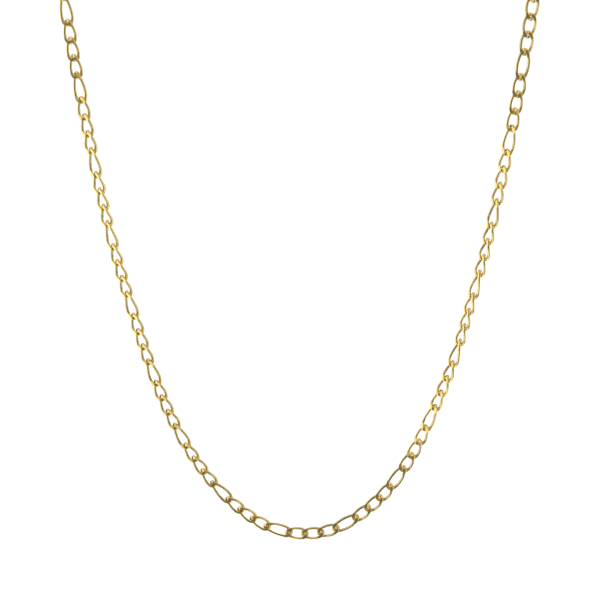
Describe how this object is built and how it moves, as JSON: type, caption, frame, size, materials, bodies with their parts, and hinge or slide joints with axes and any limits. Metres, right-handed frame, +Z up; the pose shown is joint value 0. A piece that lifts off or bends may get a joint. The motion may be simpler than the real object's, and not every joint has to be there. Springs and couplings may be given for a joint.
{
  "type": "figaro chain necklace",
  "caption": "Fine figaro chain necklace: short curb links and longer ones in turn, one closed loop that hangs in a U from the nape, joined behind by a small ring clasp.",
  "frame": {"origin": "middle of the clasp at the nape, where the worn chain rests on the back of the neck", "axes": "+Z up, against the way the chain hangs; -Y to the front, where the U hangs in one upright plane; +X to the viewer's right"},
  "size_m": [0.1047, 0.0649, 0.1713],
  "materials": {
    "chain": "polished yellow gold plate, ground flat on the two faces",
    "clasp": "polished yellow gold plate"
  },
  "bodies": {
    "root": {"chain_left": "chain", "chain_right": "chain", "clasp": "clasp"}
  },
  "joints": []
}
